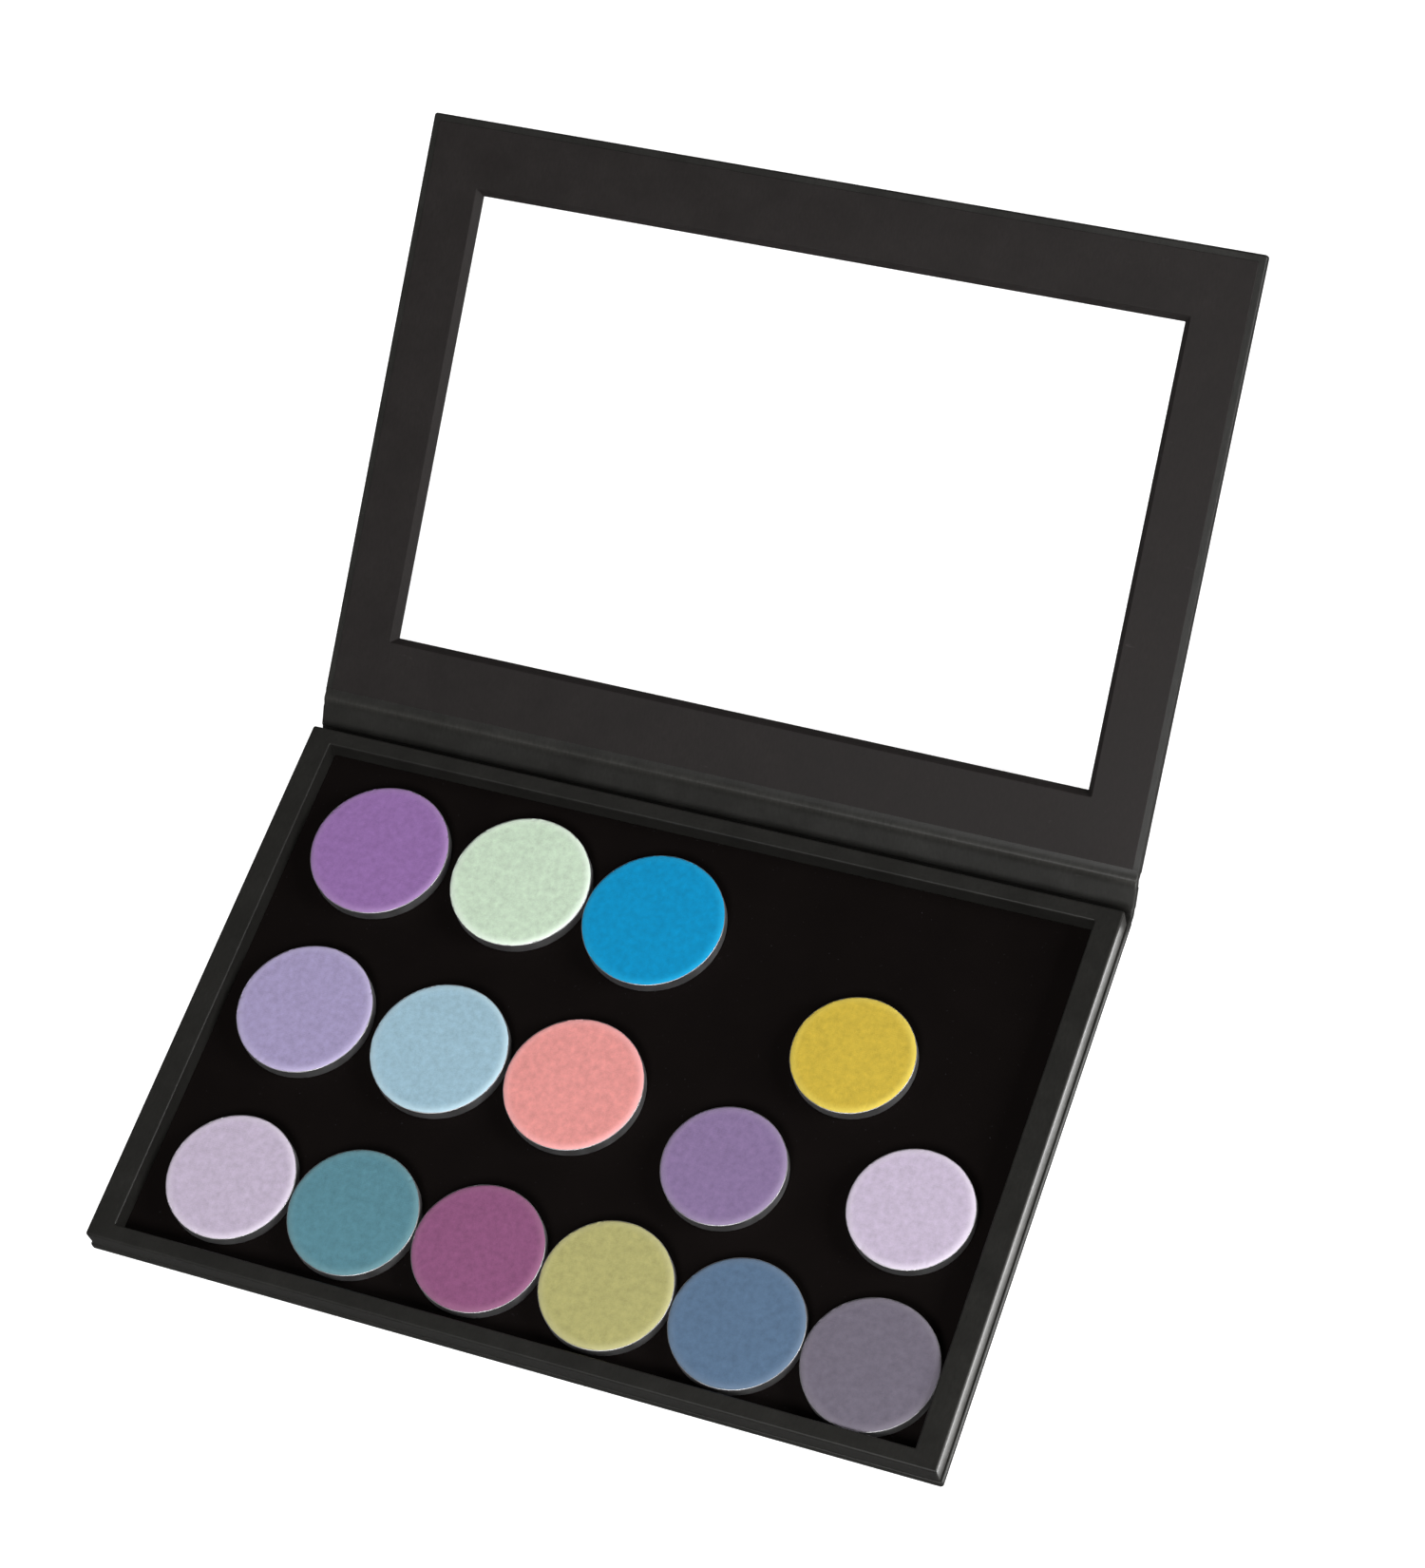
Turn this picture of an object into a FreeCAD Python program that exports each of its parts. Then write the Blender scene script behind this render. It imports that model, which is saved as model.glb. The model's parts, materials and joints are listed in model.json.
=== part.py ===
"""Book-style magnetic palette for pressed powders, open, with fifteen loose round pans.

Millimetres, +Z up. The origin is the middle of the bottom board's underside, +X runs along the case
to the right and +Y runs towards the hinges. The spine and lid are built shut, then swung open about
the two paper creases.
"""
import FreeCAD, Part
import math
import os

from FreeCAD import Placement, Rotation, Vector

TOLERANCE = 0.01        # for telling one edge from another
UPRIGHT = 0.99          # cosine above which an edge counts as upright
OVERCUT = 1.0           # how far a cutting block stands past what it cuts

# Case boards
CASE_WIDTH = 188.2
BOARD = 2.0             # wrapped thickness of the bottom and spine boards
PAPER = 0.2             # thickness of the wrapping paper
EDGE_RADIUS = 0.45      # soft edge of a wrapped board
BOTTOM_FRONT = -63.3    # front edge of the bottom board

# Tray
TRAY_WIDTH = 187.0
TRAY_DEPTH = 126.0
WALL_HEIGHT = 5.4
INNER_WIDTH = 176.0
INNER_DEPTH = 118.6
RIM_RADIUS = 0.9        # outer edge of the rim
INNER_RIM_RADIUS = 0.5  # edge of the rim that faces the pans
SHEET = 0.8             # thickness of the magnetic sheet
SHEET_CLEARANCE = 0.1

# Creases between the boards
HINGE_Y = 65.4          # both creases, with the case shut
CREASE_REACH = 1.2      # from a crease to the board beside it
SPINE_LEAN = 44.7       # degrees back from upright
LID_LEAN = 58.8         # degrees back from upright
HINGE_PAPER = 0.4       # two papers glued together

# Lid
LID_THICKNESS = 2.2
LID_GAP = 0.25          # between the rim and the shut lid
LID_LENGTH = 130.9      # from the crease to the lid's free edge
LINER = 0.15
LINER_INSET = 1.6       # how far the liner stays inside the lid's edges
WINDOW_WIDTH = 159.2
WINDOW_NEAR = 16.2      # from the crease to the window
WINDOW_FAR = 114.8
WINDOW_BEVEL = 1.25     # how far the window's edge leans outwards towards the inner face
FILM = 0.3
FILM_BORDER = 8.0       # glued border of the window film

# Closure: magnets in the front wall, steel strips in the lid
CLOSURE_X = 45.0        # from the middle to each magnet
MAGNET = (12.0, 2.0, 2.8)
STEEL = (14.0, 4.0, 0.5)

# Pans: a drawn cup and the pressed powder in it
PAN_HEIGHT = 3.2
PAN_WALL = 0.3
PAN_BASE_RADIUS = 0.6
CAKE_RISE = 0.35        # how far the powder stands above the pan's rim
CAKE_BEVEL = 0.9        # width of the powder's sloping edge
CAKE_CLEARANCE = 0.02   # between the powder and the pan's wall
FRONT_PAN = 28.2
MIDDLE_PAN = 30.0
BACK_PAN = 31.0
SMALL_PAN = 26.5
PANS = [
    ("purple", BACK_PAN, -67.4, 37.9),
    ("mint", BACK_PAN, -34.1, 38.4),
    ("vivid_blue", BACK_PAN, -2.7, 36.9),
    ("lavender", MIDDLE_PAN, -68.7, -2.0),
    ("light_blue", MIDDLE_PAN, -36.6, -3.2),
    ("coral", MIDDLE_PAN, -5.7, -3.5),
    ("violet", SMALL_PAN, 31.1, -12.6),
    ("yellow", SMALL_PAN, 48.8, 17.9),
    ("pale_lilac", SMALL_PAN, 71.1, -11.5),
    ("pale_lavender", FRONT_PAN, -68.8, -42.3),
    ("teal", FRONT_PAN, -40.3, -42.8),
    ("plum", FRONT_PAN, -11.8, -43.2),
    ("olive", FRONT_PAN, 16.7, -43.6),
    ("steel_blue", FRONT_PAN, 45.2, -44.1),
    ("grey_violet", FRONT_PAN, 73.7, -45.0),
]

RIM_TOP = BOARD + WALL_HEIGHT
FLOOR_TOP = BOARD + SHEET
LID_LOW = RIM_TOP + LID_GAP
LID_HIGH = LID_LOW + LID_THICKNESS
BOTTOM_BACK = HINGE_Y - CREASE_REACH
LOWER_CREASE = Vector(0, HINGE_Y, BOARD / 2)
UPPER_CREASE_SHUT = Vector(0, HINGE_Y, (LID_LOW + LID_HIGH) / 2)
LID_OPENING = 90 + LID_LEAN
LID_FOLD = LID_OPENING - SPINE_LEAN


def span(x_range, y_range, z_range):
    """A box from its lowest and highest x, y and z."""
    size = [high - low for low, high in (x_range, y_range, z_range)]
    return Part.makeBox(*size, Vector(x_range[0], y_range[0], z_range[0]))


def centred(width, y_range, z_range):
    """A box of that width, in the middle of the case."""
    return span((-width / 2, width / 2), y_range, z_range)


def grown(box, amount):
    """A box's solid, larger by the same amount on every side, or smaller if that is negative."""
    b = box.BoundBox
    return span(
        (b.XMin - amount, b.XMax + amount),
        (b.YMin - amount, b.YMax + amount),
        (b.ZMin - amount, b.ZMax + amount),
    )


def edges_at(shape, test):
    """The edges of a shape whose middle passes a test."""
    return [e for e in shape.Edges if test(e.CenterOfMass, e)]


def is_upright(edge):
    return abs(edge.tangentAt(edge.FirstParameter).z) > UPRIGHT


def soft_block(box, radius):
    """A wrapped board's outer form: every edge rounded."""
    return box.makeFillet(radius, box.Edges)


def skin(box, radius, thickness):
    """A closed paper skin around a board."""
    return soft_block(box, radius).cut(grown(box, -thickness))


def frustum(low, high, z_low, z_high):
    """A solid between two rectangles, each given as its half width, lowest y and highest y."""
    wires = []
    for (half, y0, y1), z in ((low, z_low), (high, z_high)):
        corners = [Vector(-half, y0, z), Vector(half, y0, z), Vector(half, y1, z), Vector(-half, y1, z)]
        wires.append(Part.makePolygon(corners + corners[:1]))
    return Part.makeLoft(wires, True, True)


def turned(shape, crease, degrees):
    """The shape swung open about a crease that runs along X."""
    out = shape.copy()
    out.Placement = Placement(Vector(), Rotation(Vector(1, 0, 0), -degrees), crease).multiply(out.Placement)
    return out


def opened_spine(shape):
    return turned(shape, LOWER_CREASE, SPINE_LEAN)


def opened_lid(shape):
    return turned(turned(shape, UPPER_CREASE_SHUT, LID_FOLD), LOWER_CREASE, SPINE_LEAN)


def upper_crease():
    """Where the crease between spine and lid is with the case open."""
    lean = math.radians(SPINE_LEAN)
    reach = UPPER_CREASE_SHUT.z - LOWER_CREASE.z
    return LOWER_CREASE + Vector(0, math.sin(lean), math.cos(lean)) * reach


def write(name, shape):
    solids = shape.Solids
    shape = solids[0] if len(solids) == 1 else Part.makeCompound(solids)
    if not shape.isValid():
        raise ValueError(name + " is not a valid solid")
    shape.exportStep("parts/" + name + ".step")


# Bottom board

def bottom_block():
    return centred(CASE_WIDTH, (BOTTOM_FRONT, BOTTOM_BACK), (0, BOARD))


def bottom_board():
    return grown(bottom_block(), -PAPER)


def bottom_wrap():
    return skin(bottom_block(), EDGE_RADIUS, PAPER)


# Tray

def ring(inset):
    """The four walls as one ring, inset from the wrapped size by the paper's thickness or by nothing."""
    half_depth = TRAY_DEPTH / 2 - inset
    outer = centred(TRAY_WIDTH - 2 * inset, (-half_depth, half_depth), (BOARD, RIM_TOP - inset))
    outer = outer.makeFillet(
        RIM_RADIUS - inset,
        edges_at(outer, lambda c, e: is_upright(e) or c.z > RIM_TOP - inset - TOLERANCE),
    )
    half_opening = INNER_DEPTH / 2 + inset
    opening = centred(
        INNER_WIDTH + 2 * inset, (-half_opening, half_opening), (BOARD - OVERCUT, RIM_TOP + OVERCUT)
    )
    walls = outer.cut(opening)
    inner_top = edges_at(
        walls,
        lambda c, e: c.z > RIM_TOP - inset - TOLERANCE
        and abs(c.x) < INNER_WIDTH / 2 + inset + TOLERANCE
        and abs(c.y) < half_opening + TOLERANCE,
    )
    return walls.makeFillet(INNER_RIM_RADIUS - inset, inner_top)


def magnet_boxes():
    """The closure magnets, upright in the front wall's core."""
    length, width, height = MAGNET
    y = -(TRAY_DEPTH + INNER_DEPTH) / 4
    top = RIM_TOP - 2 * PAPER
    return [
        span((x - length / 2, x + length / 2), (y - width / 2, y + width / 2), (top - height, top))
        for x in (-CLOSURE_X, CLOSURE_X)
    ]


def tray_walls():
    """The side walls run the tray's full depth, and the front and back walls fit between them."""
    core = ring(PAPER)
    side = INNER_WIDTH / 2 + PAPER
    far = TRAY_WIDTH
    height = (BOARD, RIM_TOP)
    walls = {
        "left": core.common(span((-far, -side), (-far, far), height)),
        "right": core.common(span((side, far), (-far, far), height)),
        "front": core.common(span((-side, side), (-far, 0), height)),
        "back": core.common(span((-side, side), (0, far), height)),
    }
    for magnet in magnet_boxes():
        walls["front"] = walls["front"].cut(magnet)
    return walls


def tray_wrap():
    return ring(0).cut(ring(PAPER))


def magnetic_sheet():
    half_depth = INNER_DEPTH / 2 - SHEET_CLEARANCE
    width = INNER_WIDTH - 2 * SHEET_CLEARANCE
    return centred(width, (-half_depth, half_depth), (BOARD, FLOOR_TOP))


# Spine

def spine_block():
    """The spine board's outer form, shut: upright behind the tray."""
    return centred(
        CASE_WIDTH,
        (HINGE_Y - BOARD / 2, HINGE_Y + BOARD / 2),
        (LOWER_CREASE.z + CREASE_REACH, UPPER_CREASE_SHUT.z - CREASE_REACH),
    )


def hinge_paper(crease, start, end):
    """A bent strip centred on a crease. start and end point from the crease to the two boards."""
    width = CASE_WIDTH - 2 * EDGE_RADIUS
    half = HINGE_PAPER / 2
    across_start = Vector(0, -start.z, start.y)
    across_end = Vector(0, end.z, -end.y)
    mitre = across_start + across_end
    mitre = mitre * (half / mitre.dot(across_start))
    outline = [
        crease + start * CREASE_REACH + across_start * half,
        crease + mitre,
        crease + end * CREASE_REACH + across_end * half,
        crease + end * CREASE_REACH - across_end * half,
        crease - mitre,
        crease + start * CREASE_REACH - across_start * half,
    ]
    face = Part.Face(Part.makePolygon(outline + outline[:1]))
    strip = face.extrude(Vector(width, 0, 0))
    strip.translate(Vector(-width / 2, 0, 0))
    return strip


def along(degrees):
    """A direction that leans back from upright by that angle."""
    lean = math.radians(degrees)
    return Vector(0, math.sin(lean), math.cos(lean))


# Lid, built shut on top of the tray

def lid_block():
    return centred(
        CASE_WIDTH, (HINGE_Y - LID_LENGTH, HINGE_Y - CREASE_REACH), (LID_LOW + LINER, LID_HIGH)
    )


def window(extra, z_low, z_high):
    """The window's bevelled opening between two heights, wider by extra. The inner face is the lower."""
    film_low = LID_HIGH - PAPER - FILM
    slope = WINDOW_BEVEL / (film_low - LID_LOW)
    rectangles = []
    for z in (z_low, z_high):
        grow = extra + slope * (film_low - z)
        rectangles.append(
            (WINDOW_WIDTH / 2 + grow, HINGE_Y - WINDOW_FAR - grow, HINGE_Y - WINDOW_NEAR + grow)
        )
    return frustum(*rectangles, z_low, z_high)


def through_window():
    """The window's narrow opening, right through the lid."""
    return centred(
        WINDOW_WIDTH, (HINGE_Y - WINDOW_FAR, HINGE_Y - WINDOW_NEAR), (LID_LOW - OVERCUT, LID_HIGH + OVERCUT)
    )


def film_box():
    y_range = (HINGE_Y - WINDOW_FAR - FILM_BORDER, HINGE_Y - WINDOW_NEAR + FILM_BORDER)
    top = LID_HIGH - PAPER
    return centred(WINDOW_WIDTH + 2 * FILM_BORDER, y_range, (top - FILM, top))


def steel_boxes():
    """The steel strips lie over the closure magnets when the lid is shut."""
    length, width, thickness = STEEL
    y = -(TRAY_DEPTH + INNER_DEPTH) / 4
    z = LID_LOW + LINER + PAPER
    return [
        span((x - length / 2, x + length / 2), (y - width / 2, y + width / 2), (z, z + thickness))
        for x in (-CLOSURE_X, CLOSURE_X)
    ]


def lid_board():
    core = grown(lid_block(), -PAPER)
    core = core.cut(film_box())
    core = core.cut(window(LINER, LID_LOW - OVERCUT, LID_HIGH))
    for strip in steel_boxes():
        core = core.cut(strip)
    return core


def lid_wrap():
    wrap = skin(lid_block(), EDGE_RADIUS, PAPER)
    wrap = wrap.cut(through_window())
    return wrap.cut(window(LINER, LID_LOW - OVERCUT, LID_LOW + 2 * PAPER))


def lid_liner():
    """A sheet on the inner face, with flaps that line the window's bevel."""
    b = lid_block().BoundBox
    sheet = span(
        (b.XMin + LINER_INSET, b.XMax - LINER_INSET),
        (b.YMin + LINER_INSET, b.YMax - EDGE_RADIUS),
        (LID_LOW, LID_LOW + LINER),
    )
    film_low = LID_HIGH - PAPER - FILM
    flaps = window(LINER, LID_LOW, film_low)
    liner = sheet.fuse(flaps).removeSplitter()
    return liner.cut(window(0, LID_LOW - OVERCUT, film_low + OVERCUT))


# Pans

def pan_and_cake(diameter, x, y):
    """The cup and its powder, both turned about the pan's axis."""
    radius = diameter / 2
    top = FLOOR_TOP + PAN_HEIGHT
    cup = Part.makeCylinder(radius, PAN_HEIGHT, Vector(x, y, FLOOR_TOP))
    cup = cup.makeFillet(
        PAN_BASE_RADIUS, edges_at(cup, lambda c, e: c.z < FLOOR_TOP + TOLERANCE and e.Length > radius)
    )
    hollow = Part.makeCylinder(radius - PAN_WALL, PAN_HEIGHT, Vector(x, y, FLOOR_TOP + PAN_WALL))
    cup = cup.cut(hollow)
    side = radius - PAN_WALL - CAKE_CLEARANCE
    profile = [
        Vector(0, 0, FLOOR_TOP + PAN_WALL),
        Vector(side, 0, FLOOR_TOP + PAN_WALL),
        Vector(side, 0, top),
        Vector(side - CAKE_BEVEL, 0, top + CAKE_RISE),
        Vector(0, 0, top + CAKE_RISE),
    ]
    face = Part.Face(Part.makePolygon(profile + profile[:1]))
    cake = face.revolve(Vector(), Vector(0, 0, 1), 360)
    cake.translate(Vector(x, y, 0))
    return cup, cake


def build():
    write("bottom_board", bottom_board())
    write("bottom_wrap", bottom_wrap())
    for side, wall in tray_walls().items():
        write("tray_wall_" + side, wall)
    write("tray_wrap", tray_wrap())
    write("magnetic_sheet", magnetic_sheet())
    write("tray_magnets", Part.makeCompound(magnet_boxes()))

    write("spine_board", opened_spine(grown(spine_block(), -PAPER)))
    write("spine_wrap", opened_spine(skin(spine_block(), EDGE_RADIUS, PAPER)))
    write("lower_hinge_paper", hinge_paper(LOWER_CREASE, Vector(0, -1, 0), along(SPINE_LEAN)))
    write("upper_hinge_paper", hinge_paper(upper_crease(), along(SPINE_LEAN) * -1, along(LID_LEAN)))

    write("lid_board", opened_lid(lid_board()))
    write("lid_wrap", opened_lid(lid_wrap()))
    write("lid_liner", opened_lid(lid_liner()))
    write("window_film", opened_lid(film_box()))
    write("lid_steel_strips", opened_lid(Part.makeCompound(steel_boxes())))

    for colour, diameter, x, y in PANS:
        cup, cake = pan_and_cake(diameter, x, y)
        write("pan_" + colour, cup)
        write("cake_" + colour, cake)

    crease = upper_crease()
    print("lower crease y, z:", round(LOWER_CREASE.y, 4), round(LOWER_CREASE.z, 4))
    print("upper crease y, z:", round(crease.y, 4), round(crease.z, 4))
    print("lid fold from shut:", round(LID_FOLD, 4))
    print("spine fold per lid fold:", round(SPINE_LEAN / LID_FOLD, 6))


os.makedirs("parts", exist_ok=True)
build()
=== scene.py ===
"""The open powder palette's looks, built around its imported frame.

Shapes are in millimetres until mesh() makes them. Lights are in metres.
"""

import json
import math

import bmesh
import bpy
from mathutils import Matrix, Vector, noise


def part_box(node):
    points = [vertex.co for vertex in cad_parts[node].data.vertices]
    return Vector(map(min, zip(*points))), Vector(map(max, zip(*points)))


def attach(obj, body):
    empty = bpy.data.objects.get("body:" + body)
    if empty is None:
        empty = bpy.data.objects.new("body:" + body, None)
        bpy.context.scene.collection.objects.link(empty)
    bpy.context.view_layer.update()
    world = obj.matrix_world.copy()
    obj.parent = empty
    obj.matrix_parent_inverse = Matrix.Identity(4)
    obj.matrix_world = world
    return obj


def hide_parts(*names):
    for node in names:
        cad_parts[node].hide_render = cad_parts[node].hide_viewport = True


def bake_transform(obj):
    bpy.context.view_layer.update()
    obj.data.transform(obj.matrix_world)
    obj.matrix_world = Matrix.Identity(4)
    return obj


MM = 0.001

# Paper
PAPER = 0.2             # wrapping paper
LINER = 0.15            # liner paper
EDGE_ROUND = 0.48       # rounded edge of a wrapped board
CORNER_ROUND = 0.15     # a board's corners, seen from above
EDGE_STEPS = 6          # facets on a rounded edge
TURN_IN = 11.0          # how far the wrapping paper turns in over a board
HOLE_CORNER = 0.2       # corners of a hole in a board
SNUG = 0.02             # between a board and the paper round it
FLUSH = 0.03            # how far a hinge's paper lies under the boards' outer faces
PROUD = 0.015           # how far it lies over their inner faces

# Tray rim
RIM_ROUND = 0.55        # the rim's outer edge, and the tray's corners seen from above
INNER_RIM_ROUND = 0.4   # the rim's inner edge
INNER_CORNER = 0.15     # the tray's inner corners, seen from above

# Lid
CREASE_REACH = 1.2      # from a crease to the board beside it
LINER_INSET = 1.6       # from the lid's outline to the liner
LINER_ROUND = 0.12      # the liner's cut edge
LINER_CORNER = 0.4      # the liner's corners, seen from above
BEVEL_ROUND = 0.3       # where the liner turns down into the window
BEVEL_CORNER = 0.35     # the turned liner's corners, seen from above
SLOPE_CORNER = 0.3      # corners of the sloping window edge under it
WINDOW_BEVEL = 1.25     # how far that slope reaches from the window
WINDOW_CORNER = 0.1
FILM_BORDER = 8.0       # how far the film reaches past the window

# Hinges
HINGE_REACH = 2.1       # from a crease to the end of its paper, inside the board
HINGE_STEPS = 20        # facets along the upper hinge; the lower one's bend has half as many
CREASE_RIDGE = 0.2      # how far the paper bulges over the upper crease
RIDGE_WIDTH = 0.8
CREASE_GROOVE = 0.35    # how deep the paper dips behind the upper crease
GROOVE_WIDTH = 0.6
CREASE_REST = 0.07      # share of the upper hinge that lies along each board
CREASE_VALLEY = 0.75    # roundness of the paper in the lower crease
HINGE_SIDE = 0.12       # how far a hinge's paper stays inside the boards' ends

# Pans
PAN_WALL = 0.3
PAN_FOOT = 0.6
PAN_SEGMENTS = 128
DIMPLE = 0.04           # how far the middle of a pan's foot is raised
CAKE_RISE = 0.27        # from the powder's edge, on the pan's rim, to its face
CAKE_BEVEL = 1.0        # width of the powder's sloping edge
CAKE_SPILL = 0.09       # from the powder's edge to the pan's outside
CAKE_SINK = 0.05        # how far the powder keeps inside its CAD solid and reaches below the pan's rim
CAKE_RAGGED = 0.06      # how unevenly the powder ends
CAKE_PALE_LIT_EDGE = 1.9         # width of the paler edge: paler powder with a painted highlight on its bevel
CAKE_RINGS = 42
THREAD = 0.45           # spacing of the pressing cloth's threads

# Colours: name, then the pressed face and the looser, paler edge, whose paleness is partly a painted highlight on
# its bevel, as display values from 0 to 255
POWDERS = {
    "purple": ((148, 109, 170), (158, 126, 175)),
    "mint": ((202, 224, 198), (224, 238, 222)),
    "vivid_blue": ((1, 144, 198), (24, 151, 199)),
    "lavender": ((163, 152, 192), (180, 170, 203)),
    "light_blue": ((154, 188, 205), (178, 205, 217)),
    "coral": ((230, 149, 144), (237, 168, 167)),
    "violet": ((135, 113, 155), (145, 129, 159)),
    "yellow": ((202, 174, 61), (215, 193, 86)),
    "pale_lilac": ((194, 180, 203), (212, 202, 217)),
    "pale_lavender": ((194, 180, 203), (210, 200, 215)),
    "teal": ((87, 135, 149), (102, 139, 147)),
    "plum": ((140, 83, 123), (143, 95, 125)),
    "olive": ((174, 169, 108), (182, 178, 129)),
    "steel_blue": ((87, 112, 140), (100, 119, 141)),
    "grey_violet": ((110, 104, 118), (119, 113, 124)),
}

# Camera
VIEW_AZIMUTH = 36.62
VIEW_ELEVATION = 58.35
VIEW_ROLL = -19.56
VIEW_TARGET = Vector((-0.96, 70.5, 7.4))
VIEW_DISTANCE = 828.8
LENS = 88.75
SENSOR = 36.0


# Shapes

def arc(centre, radius, start, end, steps):
    """Points (a, b) on a circle, from one angle to another, in degrees."""
    points = []
    for i in range(steps + 1):
        angle = math.radians(start + (end - start) * i / steps)
        points.append((centre[0] + radius * math.cos(angle), centre[1] + radius * math.sin(angle)))
    return points


def clamped(value):
    return min(max(value, 0.0), 1.0)


def rounded_rectangle(half, low, high, radius):
    """A rectangle from -half to half across and low to high along, with rounded corners."""
    radius = max(radius, 0.02)
    corners = [
        ((half - radius, high - radius), 0),
        ((radius - half, high - radius), 90),
        ((radius - half, low + radius), 180),
        ((half - radius, low + radius), 270),
    ]
    points = []
    for centre, start in corners:
        points += arc(centre, radius, start, start + 90, EDGE_STEPS)
    return points


def grown(rectangle, amount):
    """A rectangle given as its half width, low and high ends, larger by that much on every side."""
    half, low, high = rectangle
    return half + amount, low - amount, high + amount


def bridge(count, rings, closed):
    """Quads between rings of that many points each. closed joins the last ring to the first."""
    faces = []
    for r in range(rings if closed else rings - 1):
        a, b = r * count, (r + 1) % rings * count
        for i in range(count):
            j = (i + 1) % count
            faces.append((a + i, a + j, b + j, b + i))
    return faces


class Shape:
    """Points and faces that become one mesh."""

    def __init__(self):
        self.points = []
        self.faces = []

    def loft(self, rings, closed=False, capped=False):
        """Joins rings of 3-D points, all of one count, into a band, a closed loop or a capped body."""
        start, count = len(self.points), len(rings[0])
        for ring in rings:
            self.points += ring
        self.faces += [tuple(start + i for i in f) for f in bridge(count, len(rings), closed)]
        if capped:
            self.faces.append(tuple(range(start + count - 1, start - 1, -1)))
            last = start + (len(rings) - 1) * count
            self.faces.append(tuple(range(last, last + count)))
        return self


class Plane:
    """A board's own axes: x across, v along the board from its crease, w out of its inner face."""

    def __init__(self, origin, along, out):
        self.origin, self.along, self.out = Vector(origin), Vector(along), Vector(out)

    def at(self, x, v, w):
        return self.origin + Vector((x, 0, 0)) + self.along * v + self.out * w

    def ring(self, outline, w):
        return [self.at(x, v, w) for x, v in outline]


def edge_turns(low, high, inset):
    """A wrapped board's side, inset from its surface, as (distance in from its outline, height)."""
    turns = arc((EDGE_ROUND, low + EDGE_ROUND), EDGE_ROUND - inset, 270, 180, EDGE_STEPS)
    return turns + arc((EDGE_ROUND, high - EDGE_ROUND), EDGE_ROUND - inset, 180, 90, EDGE_STEPS)


def board_rings(plane, half, start, end, low, high, inset=0.0):
    """A slab with every edge rounded, as rings from its outer to its inner face."""
    rings = []
    for shrink, w in edge_turns(low, high, inset):
        corner = CORNER_ROUND + EDGE_ROUND - shrink
        outline = rounded_rectangle(half - shrink, start + shrink, end - shrink, corner)
        rings.append(plane.ring(outline, w))
    return rings


def board_skin(plane, half, start, end, low, high):
    """Wrapping paper all round a board: an outer and an inner surface."""
    shape = Shape().loft(board_rings(plane, half, start, end, low, high), capped=True)
    inner = board_rings(plane, half, start, end, low, high, PAPER)
    return shape.loft(inner[::-1], capped=True)


def board_core(plane, half, start, end, low, high):
    """The board inside its paper."""
    return Shape().loft(board_rings(plane, half, start, end, low, high, PAPER + SNUG), capped=True)


def turn_outwards(data):
    """Reverses every face of a closed mesh that is inside out."""
    work = bmesh.new()
    work.from_mesh(data)
    if work.calc_volume(signed=True) < 0:
        bmesh.ops.reverse_faces(work, faces=work.faces)
    work.to_mesh(data)
    work.free()


def mesh(shape, name, slot, smooth_angle=40.0):
    """The shape as an object, with its slot's material."""
    data = bpy.data.meshes.new(name)
    data.from_pydata([tuple(Vector(p) * MM) for p in shape.points], [], shape.faces)
    turn_outwards(data)
    data.shade_smooth()
    data.set_sharp_from_angle(angle=math.radians(smooth_angle))
    data.materials.append(material(slot))
    piece = bpy.data.objects.new(name, data)
    bpy.context.scene.collection.objects.link(piece)
    flatter = piece.modifiers.new("flat_faces", "WEIGHTED_NORMAL")
    flatter.keep_sharp = True
    flatter.weight = 100
    return piece


def riding(shape, name, slot, body, *nodes):
    piece = mesh(shape, name, slot)
    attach(piece, body)
    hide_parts(*nodes)
    return piece


# Materials

def linear(value):
    value /= 255
    return value / 12.92 if value <= 0.04045 else ((value + 0.055) / 1.055) ** 2.4


def shade(colour, factor=1.0):
    return tuple(min(linear(c) * factor, 1.0) for c in colour) + (1.0,)


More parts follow.
